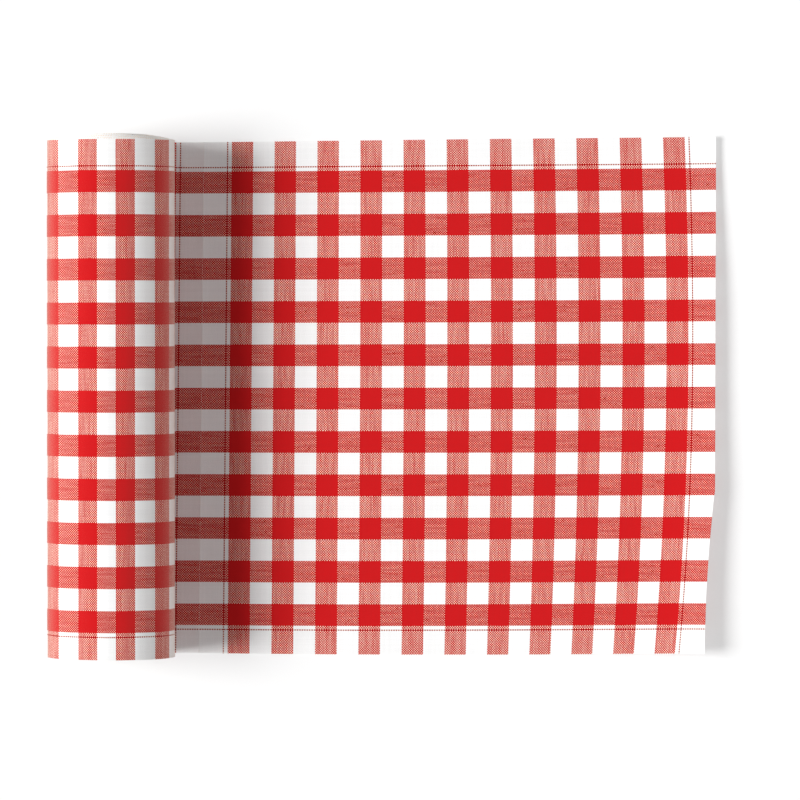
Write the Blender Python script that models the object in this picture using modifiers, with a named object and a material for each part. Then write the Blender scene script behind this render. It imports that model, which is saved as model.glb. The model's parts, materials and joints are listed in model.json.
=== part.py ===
"""A roll of tear-off gingham cotton napkins with its first napkin laid out flat.

The band of cloth is wound on a card core. It leaves the roll at the bottom, lies flat as a
short lead, and carries on past a perforation as the first whole napkin. Metres, +Z up, with
the roll's axis along Y, the flat cloth on Z = 0 and the origin under the middle of the whole.
"""
import bisect
import math

import bmesh
import bpy
from mathutils import Matrix, Vector

# The cloth
NAPKIN = 0.200              # side of one square napkin
NAPKIN_COUNT = 25           # napkins on a full roll
CLOTH = 0.00028             # thickness of the plain-woven cotton
LEAD = 0.0339               # from under the roll's axis to the perforation
HEEL = 0.0030               # how far the lead reaches back under the roll
CUT_GAP = 0.0003            # between pieces of cloth that meet edge to edge

# The roll
ROLL_DIAMETER = 0.050
ROLL_RAISE = 0.00015        # running clearance between the winding and the lead
CORE_DIAMETER = 0.020
CORE_WALL = 0.001
CORE_GAP = 0.00015          # between the card core and the innermost turn
SEGMENTS = 20               # flats in each turn of the winding
CORE_SEGMENTS = 32
TELESCOPE = 0.0020          # how far the inner turns have slipped out along the axis
DOME_RADIUS = 0.011         # inside this radius the turns have slipped all the way
DOME_POWER = 1.6            # shape of the domed end outside it

# The free edge of the first napkin, which curls up a little, and its lifted corner
EDGE_CURL = 0.0055          # rise of the free edge
EDGE_CURVE = 5.0            # how late the edge curls, as a power of the way from the fold
STILL_SHARE = 0.15          # part of the curl that is left at the far corner
CURL_REACH = 0.35           # share of the edge over which the curl grows to its full height
CORNER_LIFT = 0.0065        # further rise of the near corner
CORNER_CURVE = 2.0          # how the corner's rise grows along and across the cloth
FLAT_COLUMNS = 14
FLAT_ROWS = 12
WALK_STEPS = 24             # steps in which the cloth's length is walked over its rise

# Places that follow from these
HALF = NAPKIN / 2
OUTER_RADIUS = ROLL_DIAMETER / 2 - CLOTH / 2
FLAT_OF_TURN = math.cos(math.pi / SEGMENTS)
INNER_RADIUS = (CORE_DIAMETER / 2 + CORE_GAP) / FLAT_OF_TURN + CLOTH / 2
WOUND_LENGTH = (NAPKIN_COUNT - 1) * NAPKIN - LEAD
CHORD_SHARE = math.sin(math.pi / SEGMENTS) / (math.pi / SEGMENTS)
PITCH = math.pi * (OUTER_RADIUS ** 2 - INNER_RADIUS ** 2) * CHORD_SHARE / WOUND_LENGTH
ROLL_X = (ROLL_DIAMETER / 2 - LEAD - NAPKIN) / 2
ROLL_Z = ROLL_DIAMETER / 2 + ROLL_RAISE
CLOTH_Y = -TELESCOPE / 2    # middle of the flat cloth, so that the whole is centred on Y
PERFORATION_X = ROLL_X + LEAD
FOLD_X = PERFORATION_X + HALF

COTTON = ((0.78, 0.36, 0.36), 0.85)
CARD = ((0.50, 0.38, 0.26), 0.80)


def material(name, colour_and_roughness):
    """A plain matte finish for one piece."""
    colour, roughness = colour_and_roughness
    finish = bpy.data.materials.new(name)
    finish.use_nodes = True
    shader = finish.node_tree.nodes["Principled BSDF"]
    shader.inputs["Base Color"].default_value = (*colour, 1)
    shader.inputs["Roughness"].default_value = roughness
    shader.inputs["Metallic"].default_value = 0
    finish.diffuse_color = (*colour, 1)
    return finish


def axis_empty(name, location):
    """An empty that marks a joint's axis and carries the pieces that move about it."""
    empty = bpy.data.objects.new(name, None)
    empty.location = location
    empty.empty_display_size = 0.01
    return empty


def piece(name, form, carrier, finish, thickness, offset=0):
    """A shell piece from an open surface given in world places."""
    mesh = bpy.data.meshes.new(name)
    form.to_mesh(mesh)
    form.free()
    mesh.transform(Matrix.Translation(-Vector(carrier.location)))
    mesh.materials.append(material(name + "_finish", finish))
    shell = bpy.data.objects.new(name, mesh)
    shell.parent = carrier
    solidify = shell.modifiers.new("thickness", "SOLIDIFY")
    solidify.thickness = thickness
    solidify.offset = offset
    solidify.use_even_offset = True
    mesh.shade_smooth()
    mesh.set_sharp_from_angle(angle=math.radians(40))
    return shell


def winding_point(angle):
    """A point on the winding's mid-line, by the angle wound from the bottom of the roll."""
    radius = OUTER_RADIUS - PITCH * angle / math.tau
    outwards = max(0, radius - DOME_RADIUS) / (OUTER_RADIUS - DOME_RADIUS)
    slip = TELESCOPE * (1 - outwards ** DOME_POWER)
    return Vector((
        ROLL_X - radius * math.sin(angle),
        CLOTH_Y - HALF + slip,
        ROLL_Z - radius * math.cos(angle),
    ))


def winding_corners():
    """The corners of the winding, and the length of cloth from the first to each of them."""
    corners = [winding_point(0)]
    lengths = [0.0]
    while lengths[-1] < WOUND_LENGTH:
        corners.append(winding_point(len(corners) * math.tau / SEGMENTS))
        step = corners[-1] - corners[-2]
        lengths.append(lengths[-1] + math.hypot(step.x, step.z))
    return corners, lengths


def wound_strip(name, start, end, winding, carrier):
    """The cloth between two lengths along the winding, one napkin wide."""
    corners, lengths = winding

    def point_at(length):
        index = bisect.bisect_right(lengths, length)
        share = (length - lengths[index - 1]) / (lengths[index] - lengths[index - 1])
        return corners[index - 1].lerp(corners[index], share)

    inside = [place for place, length in zip(corners, lengths) if start < length < end]
    line = [point_at(start), *inside, point_at(end)]
    form = bmesh.new()
    row = [form.verts.new(place) for place in line]
    edges = [form.edges.new(pair) for pair in zip(row, row[1:])]
    across = bmesh.ops.extrude_edge_only(form, edges=edges)["geom"]
    moved = [element for element in across if isinstance(element, bmesh.types.BMVert)]
    bmesh.ops.translate(form, vec=(0, NAPKIN, 0), verts=moved)
    return piece(name, form, carrier, COTTON, CLOTH)


def lying_flat(along, near):
    """The cloth lies on the table."""
    return 0.0


def rising_edge(along, near):
    """Height of the cloth, by its share of the way from the fold and to the near edge."""
    reach = min(1, near / CURL_REACH)
    curl = STILL_SHARE + (1 - STILL_SHARE) * reach * reach * (3 - 2 * reach)
    corner = CORNER_LIFT * (along * near) ** CORNER_CURVE
    return EDGE_CURL * curl * along ** EDGE_CURVE + corner


def level_reach(rise, along, near, length):
    """How far cloth of one length reaches over the table, when part of it goes into rising."""
    run = length * along / WALK_STEPS
    heights = [rise(along * step / WALK_STEPS, near) for step in range(WALK_STEPS + 1)]
    return sum(math.sqrt(run ** 2 - (b - a) ** 2) for a, b in zip(heights, heights[1:]))


def flat_sheet(name, start_x, end_x, columns, rows, rise, carrier):
    """Cloth laid on the table from one place along X, one napkin wide."""
    form = bmesh.new()
    bmesh.ops.create_grid(form, x_segments=columns, y_segments=rows, size=0.5)
    for vertex in form.verts:
        along = vertex.co.x + 0.5
        near = 0.5 - vertex.co.y
        vertex.co.x = start_x + level_reach(rise, along, near, end_x - start_x)
        vertex.co.y = CLOTH_Y + (0.5 - near) * NAPKIN
        vertex.co.z = CLOTH / 2 + rise(along, near)
    return piece(name, form, carrier, COTTON, CLOTH)


def core_tube(carrier):
    """The card tube in the middle of the roll."""
    form = bmesh.new()
    bmesh.ops.create_cone(
        form,
        cap_ends=False,
        segments=CORE_SEGMENTS,
        radius1=CORE_DIAMETER / 2,
        radius2=CORE_DIAMETER / 2,
        depth=NAPKIN,
    )
    bmesh.ops.rotate(form, verts=form.verts, matrix=Matrix.Rotation(math.pi / 2, 3, "X"))
    bmesh.ops.translate(form, verts=form.verts, vec=carrier.location)
    bmesh.ops.translate(form, verts=form.verts, vec=(0, TELESCOPE / 2, 0))
    return piece("core_tube", form, carrier, CARD, CORE_WALL, offset=-1)


def wound_napkins(carrier):
    """Every napkin on the roll, the outermost first."""
    winding = winding_corners()
    strips = []
    start = HEEL + CUT_GAP
    for number in range(2, NAPKIN_COUNT + 1):
        end = (number - 1) * NAPKIN - LEAD
        name = f"napkin_{number:02d}"
        if number == 2:
            name += "_wound"
        strips.append(wound_strip(name, start, end - CUT_GAP / 2, winding, carrier))
        start = end + CUT_GAP / 2
    return strips


def build():
    """Clear the file and make every piece."""
    for old in list(bpy.data.objects):
        bpy.data.objects.remove(old, do_unlink=True)
    parts = bpy.data.collections.new("gingham_napkin_roll")
    bpy.context.scene.collection.children.link(parts)

    table_line = axis_empty("table_line", (ROLL_X, CLOTH_Y, 0))
    roll_axis = axis_empty("roll_axis", (ROLL_X, CLOTH_Y, ROLL_Z))
    tear_line = axis_empty("tear_line", (PERFORATION_X, CLOTH_Y, 0))
    fold_axis = axis_empty("fold_axis", (FOLD_X, CLOTH_Y, CLOTH))
    pieces = [table_line, roll_axis, tear_line, fold_axis]

    pieces.append(core_tube(roll_axis))
    pieces.extend(wound_napkins(roll_axis))
    half_gap = CUT_GAP / 2
    lead_start = ROLL_X - HEEL
    lead_end = PERFORATION_X - half_gap
    near_end = FOLD_X - half_gap
    pieces.append(flat_sheet(
        "napkin_02_lead", lead_start, lead_end, 1, 1, lying_flat, table_line))
    pieces.append(flat_sheet(
        "napkin_01_near_half", PERFORATION_X + half_gap, near_end, 1, 1, lying_flat, tear_line))
    pieces.append(flat_sheet(
        "napkin_01_far_half", FOLD_X + half_gap, FOLD_X + HALF,
        FLAT_COLUMNS, FLAT_ROWS, rising_edge, fold_axis))
    for made in pieces:
        parts.objects.link(made)


build()
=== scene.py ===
# %% [markdown]
# # A roll of tear-off gingham napkins
#
# One long band of red and white cotton is wound on a card core. The first napkin has been
# pulled off the roll and lies flat, still joined to the next one by a perforation. Each cell
# below makes one piece or one finish. The sizes come from the CAD frame, in metres.

# %% Load the frame
import json
import math

import bpy
import numpy as np
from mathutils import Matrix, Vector


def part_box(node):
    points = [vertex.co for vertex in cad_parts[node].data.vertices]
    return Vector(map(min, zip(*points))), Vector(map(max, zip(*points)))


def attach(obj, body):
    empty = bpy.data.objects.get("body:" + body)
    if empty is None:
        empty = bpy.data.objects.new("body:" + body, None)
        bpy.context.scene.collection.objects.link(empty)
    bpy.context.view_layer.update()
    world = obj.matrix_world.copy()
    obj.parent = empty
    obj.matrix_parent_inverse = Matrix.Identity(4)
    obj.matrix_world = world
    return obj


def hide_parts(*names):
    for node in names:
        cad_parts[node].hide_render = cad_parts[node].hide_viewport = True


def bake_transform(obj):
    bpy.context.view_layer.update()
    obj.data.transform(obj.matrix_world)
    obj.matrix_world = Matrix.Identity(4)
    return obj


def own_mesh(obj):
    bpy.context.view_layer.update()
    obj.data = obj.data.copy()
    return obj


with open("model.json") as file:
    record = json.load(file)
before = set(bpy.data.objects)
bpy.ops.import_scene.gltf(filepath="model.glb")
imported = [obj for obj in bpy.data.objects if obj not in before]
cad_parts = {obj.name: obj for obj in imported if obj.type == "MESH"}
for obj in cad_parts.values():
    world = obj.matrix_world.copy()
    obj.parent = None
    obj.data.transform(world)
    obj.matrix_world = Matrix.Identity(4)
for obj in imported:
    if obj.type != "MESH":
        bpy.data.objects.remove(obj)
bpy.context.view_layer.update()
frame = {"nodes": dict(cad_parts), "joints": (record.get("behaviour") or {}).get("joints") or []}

MM = 1000                                           # millimetres in a metre, for printing

# %% [markdown]
# ## Where things are
#
# The frame already knows the roll's axis, the line where the napkins tear and the line where
# the laid napkin folds, because its joints turn and slide there. Reading them from the frame
# keeps every new piece in place, and only the cloth's own facts are written down as numbers.

# %% Places from the joints and the CAD nodes
joints = {joint["name"]: joint for joint in frame["joints"]}
roll_axis = Vector(joints["roll_spin"]["pos_m"])
lead_low, lead_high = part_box("napkin_02_lead")
near_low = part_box("napkin_01_near_half")[0]
wound_low, wound_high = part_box("napkin_02_wound")
core_low, core_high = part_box("core_tube")

CLOTH = lead_high.z - lead_low.z                    # thickness of the cotton
NAPKIN = lead_high.y - lead_low.y                   # side of one napkin
CLOTH_Y = (lead_low.y + lead_high.y) / 2            # middle of the laid cloth
TEAR_X = (lead_high.x + near_low.x) / 2             # where the first napkin tears off
CUT = near_low.x - lead_high.x                      # width of a perforation's cut
LEAD = TEAR_X - roll_axis.x                         # from under the axis to the tear line
HEEL = roll_axis.x - lead_low.x                     # how far the lead reaches back
print(f"cloth {MM * CLOTH:.2f} mm, napkin {MM * NAPKIN:.0f} mm, lead {MM * LEAD:.1f} mm")

# %% [markdown]
# ## Camera
#
# The roll is looked at from straight above through a long lens, so that the check stays
# square from corner to corner. The camera stands a little towards the far end, and that
# is why the far end of the roll just shows above its edge.

# %% The camera
VIEW_MIDDLE = Vector((0.00663, -0.00186, 0))
VIEW_HEIGHT = 2.262
VIEW_LEAN = 0.0358                  # how far the camera stands towards the far end
FOCAL_LENGTH, SENSOR = 261.8, 36    # in millimetres

lens = bpy.data.cameras.new("overhead_lens")
lens.lens = FOCAL_LENGTH
lens.sensor_width = SENSOR
camera = bpy.data.objects.new("overhead_camera", lens)
camera.location = VIEW_MIDDLE + Vector((0, VIEW_LEAN, VIEW_HEIGHT))
camera.rotation_euler = (-math.atan2(VIEW_LEAN, VIEW_HEIGHT), 0, 0)
bpy.context.scene.collection.objects.link(camera)
bpy.context.scene.camera = camera
print("camera", round(VIEW_HEIGHT, 2), "m above the cloth")

# %% [markdown]
# ## Light and floor
#
# A broad lamp on the left lights the cloth and throws the roll's soft shadow over the laid
# napkin. A second, weaker one stands low on the right, so that the dark side of the roll
# keeps its colours while the cloth beside it stays in shade. A pale sky fills the rest, and
# the white floor glows a little, like a light table, which keeps the shadows on it faint.
# Sun lamps with a wide angle give the same soft shadow at any size of object. The colours
# are wanted as they are, so the plain view transform is set in place of the film-like one,
# and the noise filter is told to trust the colours that it is given, so that it keeps the
# single yarns.

# %% Light and floor
SKY_STRENGTH = 0.32
FLOOR_GLOW = 0.43
FLOOR_WHITE = 0.52                  # a floor that glows needs less paint to look white

bpy.context.scene.view_settings.view_transform = "Standard"
bpy.context.scene.view_settings.look = "None"
bpy.context.scene.cycles.denoising_prefilter = "NONE"


def lamp(name, strength, softness, lean):
    """A far lamp. lean is its way from overhead towards +X, in degrees."""
    light = bpy.data.lights.new(name, "SUN")
    light.energy = strength
    light.angle = math.radians(softness)
    stand = bpy.data.objects.new(name, light)
    stand.rotation_euler = (0, math.radians(lean), 0)
    bpy.context.scene.collection.objects.link(stand)


lamp("left_lamp", strength=3.55, softness=25, lean=-47)
lamp("right_lamp", strength=0.45, softness=50, lean=75)

sky = bpy.data.worlds.new("pale_sky")
sky.use_nodes = True
sky_light = sky.node_tree.nodes["Background"]
sky_light.inputs["Color"].default_value = (1, 1, 1, 1)
sky_light.inputs["Strength"].default_value = SKY_STRENGTH
bpy.context.scene.world = sky

FLOOR_SIDE = 30
FLOOR_GAP = 0.00005                 # keeps the floor from touching the cloth's underside
bpy.ops.object.select_all(action="DESELECT")
bpy.ops.mesh.primitive_plane_add(size=FLOOR_SIDE, location=(0, 0, -FLOOR_GAP))
floor = bpy.context.object
floor.name = "white_floor"
bpy.ops.object.transform_apply(location=True, rotation=True, scale=True)
floor_paint = bpy.data.materials.new("white_floor")
floor_paint.use_nodes = True
floor_shader = floor_paint.node_tree.nodes["Principled BSDF"]
floor_shader.inputs["Base Color"].default_value = (FLOOR_WHITE, FLOOR_WHITE, FLOOR_WHITE, 1)
floor_shader.inputs["Roughness"].default_value = 0.95
floor_shader.inputs["Specular IOR Level"].default_value = 0.1
floor_shader.inputs["Emission Color"].default_value = (1, 1, 1, 1)
floor_shader.inputs["Emission Strength"].default_value = FLOOR_GLOW
floor.data.materials.append(floor_paint)
print("two lamps, floor", FLOOR_SIDE, "m wide")

# %% [markdown]
# ## Writing materials as sums
#
# A woven check is counted rather than painted: which yarn a point is on, whether that yarn
# is red, and whether it passes over or under. Nodes can do it, but dozens of Math nodes are
# hard to read. This small class wraps a socket that carries a number, so that the count is
# written as ordinary Python.

# %% A number that flows through the nodes
class Number:
    """A socket that carries a number. Sums with it add the Math nodes that work them out."""

    def __init__(self, web, socket):
        self.web = web
        self.socket = socket

    def maths(self, operation, *values):
        return Number(self.web, self.web.add(
            "ShaderNodeMath", {"operation": operation}, *values).outputs[0])

    def __add__(self, other): return self.maths("ADD", self, other)
    def __radd__(self, other): return self.maths("ADD", other, self)
    def __sub__(self, other): return self.maths("SUBTRACT", self, other)
    def __rsub__(self, other): return self.maths("SUBTRACT", other, self)
    def __mul__(self, other): return self.maths("MULTIPLY", self, other)
    def __rmul__(self, other): return self.maths("MULTIPLY", other, self)
    def __truediv__(self, other): return self.maths("DIVIDE", self, other)
    def __rtruediv__(self, other): return self.maths("DIVIDE", other, self)
    def __mod__(self, other): return self.maths("FLOORED_MODULO", self, other)
    def __pow__(self, other): return self.maths("POWER", self, other)
    def __lt__(self, other): return self.maths("LESS_THAN", self, other)
    def __gt__(self, other): return self.maths("GREATER_THAN", self, other)
    def floor(self): return self.maths("FLOOR", self)
    def sine(self): return self.maths("SINE", self)
    def equals(self, other): return self.maths("COMPARE", self, other, 0.5)
    def either(self, other): return self.maths("MAXIMUM", self, other)


# %% A material's web of nodes
class Web:
    """The nodes of one material, with one method that adds any node."""

    def __init__(self, name):
        self.material = bpy.data.materials.new(name)
        self.material.use_nodes = True
        self.nodes = self.material.node_tree.nodes
        self.links = self.material.node_tree.links
        self.shader = self.nodes["Principled BSDF"]

    def add(self, kind, settings, *values, **named):
        """A node of one kind: its settings first, then its sockets in order or by name."""
        node = self.nodes.new(kind)
        for setting, value in settings.items():
            setattr(node, setting, value)
        pairs = [*zip(node.inputs, values)]
        pairs += [(node.inputs[name.replace("_", " ")], value) for name, value in named.items()]
        for socket, value in pairs:
            self.fill(socket, value)
        return node

    def fill(self, socket, value):
        """Link a socket to a number or an output, or set it to a constant."""
        if isinstance(value, Number):
            value = value.socket
        if isinstance(value, bpy.types.NodeSocket):
            self.links.new(value, socket)
        else:
            socket.default_value = value

    def number(self, socket):
        return Number(self, socket)

    def blend(self, share, first, second):
        """A colour between two others. A Mix node has its colour sockets after the plain ones."""
        node = self.add("ShaderNodeMix", {"data_type": "RGBA"}, share)
        self.fill(node.inputs[6], first)
        self.fill(node.inputs[7], second)
        return node.outputs[2]

    def tone(self, colour, amount):
        """A colour made lighter or darker by an amount that may vary."""
        return self.add(
            "ShaderNodeVectorMath", {"operation": "SCALE"}, colour, Scale=amount).outputs[0]


# %% [markdown]
# ## Gingham cotton
#
# Gingham is a plain weave: every yarn goes over one and under the next. Eighteen red yarns
# and eighteen white ones take turns in both directions, so squares where red meets red are
# solid, and where red meets white they are an even mix. One single red yarn runs along each
# border, four yarns outside the last stripe. Counting yarns gives all of it, and the same
# count gives each yarn its crown for the bump, its own slight tone, and its twist.

# %% The weave's facts
STRIPE = 18                         # yarns in one stripe
REPEAT = 2 * STRIPE
STRIPES = 11                        # red stripes across one napkin
CHECK = 0.01685                     # one red and one white stripe
YARN = CHECK / REPEAT               # from one yarn to the next
YARNS = NAPKIN / YARN
FIRST = 24                          # yarns before the first stripe
LAST = FIRST + (2 * STRIPES - 1) * STRIPE
BORDER = 4                          # yarns from a stripe to the single red yarn

WHITE = (0.93, 0.93, 0.93, 1)
RED = (0.585, 0.0025, 0.0055, 1)
WARM_WHITE = (0.90, 0.76, 0.64, 1)  # a white yarn that crosses a red one takes its tint
print(f"{YARNS:.0f} yarns each way, {YARN * MM:.3f} mm apart")


def in_stripe(yarn):
    """1 where a yarn, counted from the napkin's edge, is in a red stripe."""
    in_check = (yarn > FIRST - 0.5) * (yarn < LAST - 0.5)
    return in_check * ((yarn - FIRST) % REPEAT < STRIPE - 0.5)


def in_border(yarn):
    """1 where a yarn is the single red one outside the stripes."""
    return yarn.equals(FIRST - BORDER).either(yarn.equals(LAST + BORDER - 1))


def choose(share, first, second):
    """The first number where share is 0, and the second where it is 1."""
    return first + share * (second - first)


# %% How the yarns look
WHITE_LEVEL = 0.83                  # size of a white dot on a red upright yarn
WHITE_UPRIGHT = 0.63                # size of a white dot on a red level yarn
WHITE_BORDER = 0.95                 # size of a white dot on the single red yarn
SLUB = 0.035                        # thick places in a yarn, per crossing
THICK_AND_THIN = 1.5                # how much they open and close the white dots
YARN_STEP = 7.31                    # step in the noise that makes the next yarn unlike this one
LEVEL_STEP = 1000                   # and that keeps the level yarns unlike the upright ones

YARN_HEIGHT = 0.00008               # how far a yarn stands over the one that it crosses
BOWED = 0.6                         # share of that height that comes and goes along the yarn
TWIST, TWIST_LEAN = 3, 0.5          # turns of twist along one crossing and across it
TWIST_HEIGHT = 0.12                 # height of the twist's ridges, as a share of the yarn's

LIGHTEST = 1.02                     # tone of the lightest yarn
OWN_TONE = 0.04                     # how much darker the darkest is
PIT_PAINTED_SHADE = 0.14                     # painted shade in the pits between the yarns
MOTTLE = 0.05                       # the cloth's slow mottling
BORDER_DARK = 0.5                   # the single red yarn is deeper than the rest, by this share
BEHIND_PAINTED_SHADE = 0.22                  # painted shade on a red yarn that lies behind a white one
DULL, OWN_SHINE = 0.9, 0.08         # roughness, and how much smoother a yarn may be
print(f"white dots {WHITE_UPRIGHT * YARN * MM:.2f} to {WHITE_BORDER * YARN * MM:.2f} mm across")


# %% The cotton's finish
def gingham(name, places):
    """Red and white plain weave. places gives where a point is, in napkin sides each way."""
    web = Web(name)
    along, across = places(web)
    along, across = along * YARNS, across * YARNS
    upright, level = along.floor(), across.floor()
    upright_stripe, level_stripe = in_stripe(upright), in_stripe(level)
    level_over = (upright + level) % 2

    # Where the point is in its crossing: across the yarn on top, and along it
    in_upright, in_level = along - upright, across - level
    side = choose(level_over, in_upright, in_level) * 2 - 1
    length = choose(level_over, in_level, in_upright) * 2 - 1

    # Red yarns are fuller, so a white one shows between them only as a dot
    border = choose(level_over, in_border(upright), in_border(level))
    over_red = choose(level_over, upright_stripe, level_stripe).either(border)
    border_under = choose(level_over, in_border(level), in_border(upright))
    under_red = choose(level_over, level_stripe, upright_stripe).either(border_under)
    dot = choose(level_over, WHITE_UPRIGHT ** 2, WHITE_LEVEL ** 2)
    dot = choose(border_under, dot, WHITE_BORDER ** 2)

    # A spun yarn is thick and thin along its length, which shows as fine lines
    under_yarn = web.add(
        "ShaderNodeCombineXYZ", {},
        choose(level_over, level + LEVEL_STEP, upright) * YARN_STEP,
        choose(level_over, along, across) * SLUB, 0.0).outputs[0]
    thick = web.number(web.add(
        "ShaderNodeTexNoise", {"noise_dimensions": "2D"},
        Vector=under_yarn, Scale=1.0, Detail=1.0).outputs["Fac"])
    dot = dot * (1 - (thick - 0.5) * THICK_AND_THIN)
    beside_dot = (side * side + length * length) > dot
    inside = (across > 0) * (across < YARNS)     # outside its stripes the cut end is white
    red = over_red.either(under_red * beside_dot) * inside
    colour = web.blend(red, web.blend(under_red, WHITE, WARM_WHITE), RED)

    # A crown across each yarn, a bow along it, and its twist
    crown = 1 - side * side
    bow = 1 - length * length
    twist = ((side * TWIST_LEAN + length * TWIST) * math.pi).sine()
    height = crown * (1 - BOWED + BOWED * bow) + crown * twist * TWIST_HEIGHT

    # Each yarn has its own tone, and the cloth its own slow mottling; painted shade darkens the
    # pits between the yarns
    yarn_number = choose(level_over, upright, level + LEVEL_STEP)
    own = web.number(web.add(
        "ShaderNodeTexWhiteNoise", {"noise_dimensions": "1D"}, W=yarn_number).outputs["Value"])
    place = web.add("ShaderNodeCombineXYZ", {}, along, across, 0.0).outputs[0]
    mottle = web.number(web.add(
        "ShaderNodeTexNoise", {"noise_dimensions": "2D"},
        Vector=place, Scale=0.06, Detail=4.0, Roughness=0.7).outputs["Fac"])
    # the pits between the yarns are darkened with painted shade
    pit = (1 - crown) * (1 - bow)
    # a red yarn seen behind a white dot is darkened with painted shade
    behind = under_red * beside_dot * (1 - over_red)
    tone = LIGHTEST - own * OWN_TONE - pit * PIT_PAINTED_SHADE + (mottle - 0.5) * MOTTLE
    tone = tone * (1 - border * BORDER_DARK) * (1 - behind * BEHIND_PAINTED_SHADE)
    web.fill(web.shader.inputs["Base Color"], web.tone(colour, tone))
    web.fill(web.shader.inputs["Roughness"], DULL - own * OWN_SHINE)
    bump = web.add(
        "ShaderNodeBump", {}, Strength=0.6, Distance=YARN_HEIGHT, Height=height)
    web.fill(web.shader.inputs["Normal"], bump.outputs["Normal"])
    web.shader.inputs["Specular IOR Level"].default_value = 0.12
    web.shader.inputs["Sheen Weight"].default_value = 0.9
    web.shader.inputs["Sheen Roughness"].default_value = 0.43
    web.shader.inputs["Sheen Tint"].default_value = (1, 0.87, 0.72, 1)
    return web.material


# %% Two cottons, by where they take their count from
TEAR_SLANT = 0.0021                 # how far the tear line leans over the cloth's width
LEAD_SHIFT = 0.0011                 # the lead's stripes are this much nearer to the tear line
PULLED_IN = 0.0008                  # the cloth is drawn in this much in width at the roll


def from_cloth(web):
    """The count runs in the cloth's own map, so it follows the cloth round the roll."""
    weave = web.add("ShaderNodeUVMap", {"uv_map": "weave"}).outputs["UV"]
    split = web.add("ShaderNodeSeparateXYZ", {}, weave)
    return web.number(split.outputs["X"]), web.number(split.outputs["Y"])


def from_table(web):
    """The count runs over the table, so it stays in place as the roll takes up the lead."""
    place = web.add("ShaderNodeTexCoord", {}).outputs["Object"]
    split = web.add("ShaderNodeSeparateXYZ", {}, place)
    x, y = web.number(split.outputs["X"]), web.number(split.outputs["Y"])
    from_middle = y - CLOTH_Y
    lean = from_middle * (TEAR_SLANT / NAPKIN)
    along = (x - TEAR_X - lean - LEAD_SHIFT) / NAPKIN + 1
    return along, from_middle / (NAPKIN - PULLED_IN) + 0.5


wound_cotton = gingham("gingham_cotton", from_cloth)
lead_cotton = gingham("gingham_cotton_lead", from_table)
print("cotton has", len(wound_cotton.node_tree.nodes), "nodes")

# %% [markdown]
# ## From a net of places to a cloth
#
# A cloth is a net of points with a map that says where each point is in the napkin's own
# weave. Solidify gives it the cotton's thickness. The map goes with the cloth, so the check
# bends with it.

# %% Make a cloth
def cloth_from(name, net, weave, cotton):
    """A cloth from a net of places, rows by columns, and the weave's place at each."""
    rows, columns = net.shape[:2]
    corner = np.arange(rows * columns).reshape(rows, columns)
    faces = np.stack(
        [corner[:-1, :-1], corner[:-1, 1:], corner[1:, 1:], corner[1:, :-1]], axis=-1)
    faces = faces.reshape(-1, 4)
    mesh = bpy.data.meshes.new(name)
    mesh.from_pydata(net.reshape(-1, 3).tolist(), [], faces.tolist())
    weave_map = mesh.uv_layers.new(name="weave")
    weave_map.data.foreach_set("uv", weave.reshape(-1, 2)[faces.ravel()].ravel())
    mesh.materials.append(cotton)
    mesh.shade_smooth()
    cloth = bpy.data.objects.new(name, mesh)
    bpy.context.scene.collection.objects.link(cloth)
    thickness = cloth.modifiers.new("thickness", "SOLIDIFY")
    thickness.thickness = CLOTH
    thickness.offset = 0
    bpy.ops.object.select_all(action="DESELECT")
    bpy.context.view_layer.objects.active = cloth
    cloth.select_set(True)
    bpy.ops.object.modifier_apply(modifier=thickness.name)
    mesh.set_sharp_from_angle(angle=math.radians(50))
    return cloth


def smooth(share):
    """A share from 0 to 1 that starts and ends gently."""
    share = np.clip(share, 0, 1)
    return share * share * (3 - 2 * share)


# %% [markdown]
# ## The laid napkin
#
# It lies flat up to its free edge, which curls up a little, most at the near corner. A
# woven square is never true: it leans at the tear line, its stripes bow in the middle and
# the lifted corner is drawn in. These few drifts, each a smooth function with one size, make
# the cloth look like cloth where a straight grid looks printed.

# %% How the laid napkin rises
EDGE_CURL, EDGE_CURVE = 0.0050, 5.0     # rise of the free edge, and how late it curls
STILL_SHARE = 0.45                      # part of the curl that is left at the far corner
CURL_REACH = 0.35                       # share of the edge over which the curl grows
CORNER_LIFT, CORNER_CURVE = 0.0050, 2.0     # further rise of the near corner, and how late
RIPPLE, RIPPLE_GROWTH = 0.00025, 3      # slight waves, and how soon they start from the tear
FIRST_WAVE, SECOND_WAVE, SECOND_START = (9, 5), (-4, 7), 1      # in radians along and across
CREASE, CREASE_REACH = 0.00045, 0.006   # the folded ridge along the tear line
print(f"near corner {MM * (EDGE_CURL + CORNER_LIFT):.0f} mm up")


def rise(share, near):
    """Height of the cloth, by its share of the way from the fold, and to the near edge."""
    curl = STILL_SHARE + (1 - STILL_SHARE) * smooth(near / CURL_REACH)
    corner = CORNER_LIFT * (share * near) ** CORNER_CURVE
    return EDGE_CURL * curl * share ** EDGE_CURVE + corner


def ripple(along, near):
    """Slight waves where the cloth isn't pressed flat, one set across another."""
    first = np.sin(FIRST_WAVE[0] * along + FIRST_WAVE[1] * near)
    second = np.sin(SECOND_WAVE[0] * along + SECOND_WAVE[1] * near + SECOND_START)
    return RIPPLE * smooth(along * RIPPLE_GROWTH) * (1 + first * second)


def crease(distance):
    """The small ridge that the fold of the perforation leaves on both sides of it."""
    return CREASE * np.clip(1 - np.abs(distance) / CREASE_REACH, 0, 1) ** 2


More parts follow.
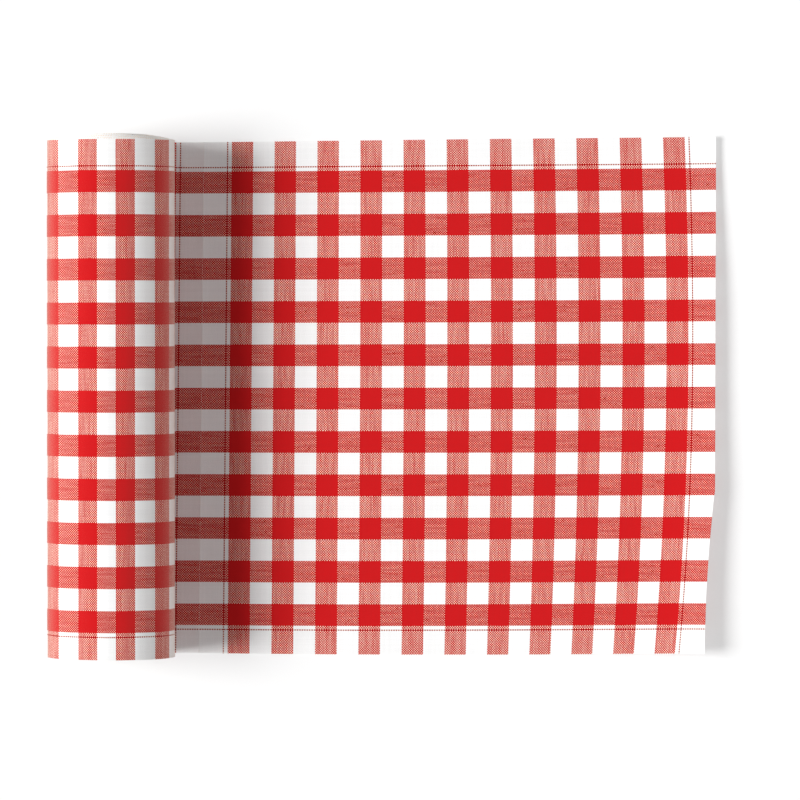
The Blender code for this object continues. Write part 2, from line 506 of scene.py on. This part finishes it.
# %% How the laid napkin drifts from square
BOW = 0.0021                        # the stripes bow to the right in the middle
DRAWN_CORNER = 0.0051               # the near corner is drawn in
CORNER_EASE = 0.0011                # and eases back at the very edge
DRAWN_LENGTH = 0.00013              # the whole is drawn in this much in length
EDGE_TRIM = 0.0001                  # what the cutter took off the free edge
EDGE_TURN = 0.68                    # where the free edge turns in, by the way to the near edge
EDGE_IN = 0.0037                    # how far it turns in
FAR_FAN, NEAR_FAN = 0.0017, 0.0022  # the cross stripes fan out to the right
NEAR_EASE = 0.0029                  # and close up again near the drawn-in corner
print(f"stripes bow by {MM * BOW:.1f} mm, corner drawn in by {MM * DRAWN_CORNER:.1f} mm")


def weave_drift(along, near):
    """How far the upright stripes stand from their square places."""
    lean = TEAR_SLANT * (0.5 - near) * (1 - along) ** 3
    bow = BOW * along ** 2 * 4 * near * (1 - near)
    corner = DRAWN_CORNER * (along * near) ** 3 - CORNER_EASE * along ** 6 * near ** 3
    return lean + bow - corner - DRAWN_LENGTH * along


def edge_drift(near):
    """How far the free edge stands from its square place."""
    turn = np.clip((near - EDGE_TURN) / (1 - EDGE_TURN), 0, 1)
    return -EDGE_TRIM - EDGE_IN * (1 - (1 - turn) ** 2)


def cross_drift(along, near):
    """How far the level stripes stand from their square places."""
    drawn = PULLED_IN * (near - 0.5)
    fan = FAR_FAN * along * (1 - near) - NEAR_FAN * along * near
    return drawn + fan + NEAR_EASE * (along * near) ** 2


# %% The laid napkin's columns and rows
ROWS = 120
NEAR_TEAR = 0.03                    # up to here the columns are close, for the crease
NEAR_FOLD, PAST_FOLD = 0.47, 0.53   # and between these, for the fold

tear_side = np.linspace(0, NEAR_TEAR, 12, endpoint=False)
up_to_fold = np.linspace(NEAR_TEAR, NEAR_FOLD, 48, endpoint=False)
round_fold = np.linspace(NEAR_FOLD, PAST_FOLD, 16, endpoint=False)
to_edge = np.linspace(PAST_FOLD, 1, 60)
column_shares = np.concatenate([tear_side, up_to_fold, round_fold, to_edge])
along, near = np.meshgrid(column_shares, np.linspace(1, 0, ROWS + 1))
print(len(column_shares), "columns by", ROWS + 1, "rows")

# %% How far the laid napkin reaches
WALK_STEPS = 24                     # steps in which its length is walked over its rise
SLIT = 0.00005                      # the perforation's slits are closed while it lies flat

beyond = np.clip(2 * along - 1, 0, 1)                 # share of the way from the fold
walk = np.linspace(0, 1, WALK_STEPS + 1)[:, None, None]
heights = rise(beyond * walk, near)
run = beyond * NAPKIN / 2 / WALK_STEPS
reach = np.sqrt(run ** 2 - np.diff(heights, axis=0) ** 2).sum(axis=0)
level_x = TEAR_X + SLIT / 2 + np.minimum(along, 0.5) * (NAPKIN - SLIT) + reach
print(f"its middle reaches {MM * (level_x[ROWS // 2, -1] - TEAR_X):.2f} mm from the tear line")

# %% The laid napkin
WEAVE_START = -0.00028              # the weave starts this far before the tear line
TRIM_AT_TEAR, TRIM_AT_EDGE = 0.0003, -0.0002    # what the cutter took off each side
EDGE_POWER = 8                      # how soon the free edge's own drift fades into the cloth

to_free_edge = (edge_drift(near) - weave_drift(1, near)) * along ** EDGE_POWER
trim = (TRIM_AT_TEAR + (TRIM_AT_EDGE - TRIM_AT_TEAR) * along) * (2 * near - 1)
x = level_x + weave_drift(along, near) + to_free_edge
y = CLOTH_Y + (0.5 - near) * NAPKIN + cross_drift(along, near) + trim
z = CLOTH / 2 + rise(beyond, near) + crease(along * NAPKIN) + ripple(along, near)
weave_along = along + (to_free_edge - WEAVE_START) / NAPKIN
weave_across = 1 - near + trim / NAPKIN
laid_napkin = cloth_from(
    "cloth_01", np.stack([x, y, z], axis=-1),
    np.stack([weave_along, weave_across], axis=-1), wound_cotton)
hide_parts("napkin_01_near_half", "napkin_01_far_half")
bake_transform(laid_napkin)
print(f"laid napkin: {len(laid_napkin.data.polygons)} faces, up to {MM * z.max():.1f} mm high")

# %% [markdown]
# ## The lead
#
# This is the part of the second napkin that still lies flat, from under the roll to the
# tear line. The roll takes it up as it rolls back. A sheet of rigid parts can't be wound
# up, so the lead shortens towards the tear line by the same travel, under the roll where
# nobody looks, and its check is counted over the table so that it doesn't shrink with it.

# %% The lead
LEAD_COLUMNS = 40

share, near = np.meshgrid(np.linspace(0, 1, LEAD_COLUMNS + 1), np.linspace(1, 0, ROWS + 1))
slant = TEAR_SLANT * (0.5 - near)
lead_x = lead_low.x + (TEAR_X - SLIT / 2 + slant - lead_low.x) * share
lead_y = CLOTH_Y + (0.5 - near) * (NAPKIN - PULLED_IN) + TRIM_AT_TEAR * (2 * near - 1)
lead_z = CLOTH / 2 + crease(lead_x - TEAR_X - slant)
lead = cloth_from(
    "cloth_02_lead", np.stack([lead_x, lead_y, lead_z], axis=-1),
    np.stack([share, 1 - near], axis=-1), lead_cotton)
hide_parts("napkin_02_lead")
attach(lead, "lead")
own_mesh(lead)

# %% [markdown]
# ## The perforation's ties
#
# The cutter leaves the napkins joined by short ties, about a millimetre of yarns in every
# five. They lie inside the cloth while it is whole. When a napkin is torn off they stay
# behind on the next one as a row of stubs. One tie is made from a cube, flattened and
# softened, and an Array repeats it along the leaning tear line.

# %% The ties
TIE_SPACING = 0.005
TIE_WIDTH, TIE_LENGTH, TIE_THICKNESS = 0.0009, 0.0007, 0.00014
TIE_HEIGHT = 0.94                   # as a share of the crease, so they lie inside the cloth
TIE_SOFTNESS = 0.45                 # bevel on their edges, as a share of their thickness
tie_count = int(NAPKIN / TIE_SPACING)

bpy.ops.object.select_all(action="DESELECT")
bpy.ops.mesh.primitive_cube_add(size=1, location=(
    TEAR_X - TEAR_SLANT * (0.5 - TIE_SPACING / NAPKIN / 2),
    CLOTH_Y - NAPKIN / 2 + TIE_SPACING / 2,
    CLOTH / 2 + CREASE * TIE_HEIGHT))
ties = bpy.context.object
ties.name = "perforation_ties"
ties.scale = (TIE_LENGTH, TIE_WIDTH, TIE_THICKNESS)
bpy.ops.object.transform_apply(location=True, rotation=True, scale=True)
softened = ties.modifiers.new("softened", "BEVEL")
softened.width = TIE_THICKNESS * TIE_SOFTNESS
softened.segments = 3
bpy.ops.object.modifier_apply(modifier=softened.name)
row = ties.modifiers.new("row", "ARRAY")
row.count = tie_count
row.use_relative_offset = False
row.use_constant_offset = True
row.constant_offset_displace = (TEAR_SLANT * TIE_SPACING / NAPKIN, TIE_SPACING, 0)
bpy.ops.object.modifier_apply(modifier=row.name)
bpy.ops.object.shade_smooth_by_angle(angle=math.radians(40))
ties.data.materials.append(lead_cotton)
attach(ties, "lead")
print(tie_count, "ties,", len(ties.data.polygons), "faces")

# %% [markdown]
# ## The wound napkins
#
# The rest of the band is one spiral of 24 napkins. Its turns lie a little over a cloth's
# thickness apart, and the inner ones have slipped out along the axis, so the far end is
# domed. Each napkin is its own cloth, cut from the one spiral line, and its edges wander
# by a tenth of a millimetre, as a cut edge does when it is wound by hand. The outer turn
# lies a little loose, so its stripes close up over the crest and open out over the lead.

# %% The spiral line
PIECES_PER_TURN = 96
MOST_TURNS = 60                     # more than the spiral can have
SPARE = 0.01                        # line kept past the last napkin's end
CORE_GAP = 0.0003                   # from the card to the middle of the innermost turn
IN_TWO_NODES = 2                    # napkins that are two nodes in the frame

NAPKIN_COUNT = sum(name.startswith("napkin_") for name in frame["nodes"]) - IN_TWO_NODES
core_radius = (core_high.x - core_low.x) / 2
outer_radius = (wound_high.z - wound_low.z) / 2 - CLOTH / 2
inner_radius = core_radius + CORE_GAP
wound_length = (NAPKIN_COUNT - 1) * NAPKIN - LEAD
turn_gap = math.pi * (outer_radius ** 2 - inner_radius ** 2) / wound_length

angles = np.arange(0, MOST_TURNS * PIECES_PER_TURN) * math.tau / PIECES_PER_TURN
radii = outer_radius - turn_gap * angles / math.tau
spiral_x = roll_axis.x - radii * np.sin(angles)
spiral_z = roll_axis.z - radii * np.cos(angles)
lengths = np.concatenate([[0], np.cumsum(np.hypot(np.diff(spiral_x), np.diff(spiral_z)))])
keep = lengths < wound_length + SPARE
angles, lengths = angles[keep], lengths[keep]
print(NAPKIN_COUNT, "napkins,", round(angles[-1] / math.tau), "turns,",
      f"{MM * turn_gap:.3f} mm from turn to turn")

# %% How the turns have slipped, and how their edges wander
SLIP_MORE = 0.0003                  # drawn-in cloth slips this much more than the frame's
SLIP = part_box(f"napkin_{NAPKIN_COUNT}")[1].y - lead_high.y + SLIP_MORE
SLIP_RADIUS = 0.011                 # inside this radius the turns have slipped all the way
SLIP_POWER = 1.6                    # shape of the domed end outside it
WAVES = [(0.00008, 0.37, 1), (0.00006, 1.13, 2), (0.00003, 7.3, 0)]     # size, rate, way
print(f"the inner turns have slipped {MM * SLIP:.1f} mm")


def slip(radius):
    """How far a turn has slipped out along the axis."""
    outwards = np.clip((radius - SLIP_RADIUS) / (outer_radius - SLIP_RADIUS), 0, 1)
    return SLIP * (1 - outwards ** SLIP_POWER)


def wander(angle, start):
    """How far a cut edge strays from its line. Each wave takes its own way from the start."""
    return sum(size * np.sin(rate * angle + way * start) for size, rate, way in WAVES)


# %% How the stripes lie round the roll
ROLL_SHIFT = 0.0015                 # the roll's stripes are this much nearer to the tear line
CLOSED_UP = 0.0015                  # they close up over the crest of the roll
CLOSED_REACH = 0.024                # and open again this far to both sides of it
OPENED_OUT = 0.0034                 # the turn hangs open on the side over the lead
OPEN_START, OPEN_REACH = 0.017, 0.018   # from this far off the crest, and over this far
crest = np.interp(math.pi, angles, lengths)
print(f"half a turn is {MM * crest:.1f} mm of cloth")


def stripe_shift(line):
    """How much nearer to the tear the outer turn's stripes are, by the length wound."""
    aside = np.clip((line - crest) / CLOSED_REACH, -1, 1)
    hangs = smooth((crest - line - OPEN_START) / OPEN_REACH) * smooth(line / CLOSED_REACH)
    return ROLL_SHIFT - CLOSED_UP * np.sin(math.pi * aside) - OPENED_OUT * hangs


# %% Cut the napkins from the spiral
ROLL_ACROSS = 0.00055               # the roll is wound this far off the lead's line
WHITE_END = 0.0005                  # the inner turns end in a white brush of cut yarns
OUTSIDE = 0.001                     # past the weave's edge, in napkin sides
WANDER_START, WANDER_APART = 0.5, 0.8   # so that the two edges stray in their own ways
half_width = (NAPKIN - PULLED_IN) / 2 - TRIM_AT_TEAR


def rows_of(outermost):
    """A wound cloth's rows: which side each is on, how far in, and where in the weave."""
    if outermost:
        low, high = TRIM_AT_TEAR / NAPKIN, 1 - TRIM_AT_TEAR / NAPKIN
        across = ROLL_ACROSS / NAPKIN
        return [(-1, 0, low + across), (1, 0, high + across)]
    return [(-1, 0, -OUTSIDE), (-1, WHITE_END, 0), (1, WHITE_END, 1), (1, 0, 1 + OUTSIDE)]


def wound_napkin(name, number, start, end):
    """The cloth of one napkin between two lengths along the spiral."""
    inside = (lengths > start) & (lengths < end)
    line = np.concatenate([[start], lengths[inside], [end]])
    angle = np.interp(line, lengths, angles)
    radius = outer_radius - turn_gap * angle / math.tau
    outermost = number == 2
    napkin_start = (number - 2) * NAPKIN - LEAD
    shift = stripe_shift(line) if outermost else 0
    along = 1 - (line - napkin_start - shift) / NAPKIN
    net, weave = [], []
    for side, inwards, place in rows_of(outermost):
        stray = slip(radius) + wander(angle, WANDER_START + WANDER_APART * side)
        net.append(np.stack([
            roll_axis.x - radius * np.sin(angle),
            CLOTH_Y + side * (half_width - inwards) + stray,
            roll_axis.z - radius * np.cos(angle)], axis=-1))
        weave.append(np.stack([along, np.full_like(along, place)], axis=-1))
    return cloth_from(name, np.stack(net), np.stack(weave), wound_cotton)


start = HEEL + CUT
for number in range(2, NAPKIN_COUNT + 1):
    end = (number - 1) * NAPKIN - LEAD - CUT / 2
    ending = f"{number:02d}" + ("_wound" if number == 2 else "")
    cloth = wound_napkin("cloth_" + ending, number, start, end)
    node = "napkin_" + ending
    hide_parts(node)
    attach(cloth, "roll")
    start = end + CUT
print("wound", NAPKIN_COUNT - 1, "napkins")

# %% [markdown]
# ## The card core
#
# The band is wound on a tube of grey-brown card, itself wound from strips of paper. It
# starts as a cylinder without ends, gets its wall with Solidify, and its cut rims are
# softened with a small bevel.

# %% The card's finish
STRIP_PITCH = 0.045                 # how far the paper strip climbs in one turn
SEAM = 0.02                         # width of its seam, as a share of that
PLY = 0.0003                        # thickness of one ply of paper
DARK_FIBRE, PALE_FIBRE = (0.42, 0.31, 0.21, 1), (0.60, 0.48, 0.35, 1)
CARD_TONE = 0.86
CLOUDS, PLIES, SEAM_DARK = 0.2, 0.06, 0.25      # how much each changes the card's tone
CARD_ROUGH, FIBRE_ROUGH = 0.78, 0.15


def card_finish():
    """Spirally wound card: fibres, the edges of its plies, and the seam of its strip."""
    web = Web("card")
    place = web.add("ShaderNodeTexCoord", {}).outputs["Object"]
    split = web.add("ShaderNodeSeparateXYZ", {}, place)
    x = web.number(split.outputs["X"]) - roll_axis.x
    y = web.number(split.outputs["Y"])
    z = web.number(split.outputs["Z"]) - roll_axis.z
    turn = x.maths("ARCTAN2", z, x) / math.tau
    seam = (turn + y / STRIP_PITCH) % 1 < SEAM
    radius = (x * x + z * z) ** 0.5
    ply = (radius * (math.tau / PLY)).sine() * 0.5 + 0.5
    fibre = web.number(web.add(
        "ShaderNodeTexNoise", {}, Vector=place, Scale=900.0, Detail=6.0,
        Roughness=0.65).outputs["Fac"])
    cloud = web.number(web.add(
        "ShaderNodeTexNoise", {}, Vector=place, Scale=120.0, Detail=3.0).outputs["Fac"])
    colour = web.blend(fibre, DARK_FIBRE, PALE_FIBRE)
    tone = CARD_TONE + cloud * CLOUDS + ply * PLIES - seam * SEAM_DARK
    web.fill(web.shader.inputs["Base Color"], web.tone(colour, tone))
    web.fill(web.shader.inputs["Roughness"], CARD_ROUGH + fibre * FIBRE_ROUGH)
    bump = web.add(
        "ShaderNodeBump", {}, Strength=0.5, Distance=0.0001,
        Height=fibre * 0.6 + ply * 0.2 - seam)
    web.fill(web.shader.inputs["Normal"], bump.outputs["Normal"])
    web.shader.inputs["Specular IOR Level"].default_value = 0.2
    return web.material


# %% The card core
CARD_WALL = 0.001
RIM_SOFTNESS = 0.00015

bpy.ops.object.select_all(action="DESELECT")
bpy.ops.mesh.primitive_cylinder_add(
    vertices=96, radius=core_radius, depth=core_high.y - core_low.y, end_fill_type="NOTHING",
    location=(roll_axis.x, (core_low.y + core_high.y) / 2, roll_axis.z),
    rotation=(math.pi / 2, 0, 0))
card_core = bpy.context.object
card_core.name = "card_core"
bpy.ops.object.transform_apply(location=True, rotation=True, scale=True)
wall = card_core.modifiers.new("wall", "SOLIDIFY")
wall.thickness = CARD_WALL
wall.offset = -1
bpy.ops.object.modifier_apply(modifier=wall.name)
rims = card_core.modifiers.new("rims", "BEVEL")
rims.width = RIM_SOFTNESS
rims.segments = 3
rims.angle_limit = math.radians(60)
bpy.ops.object.modifier_apply(modifier=rims.name)
bpy.ops.object.shade_smooth_by_angle(angle=math.radians(35))
card_core.data.materials.append(card_finish())
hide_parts("core_tube")
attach(card_core, "core")
print("card core:", len(card_core.data.polygons), "faces")
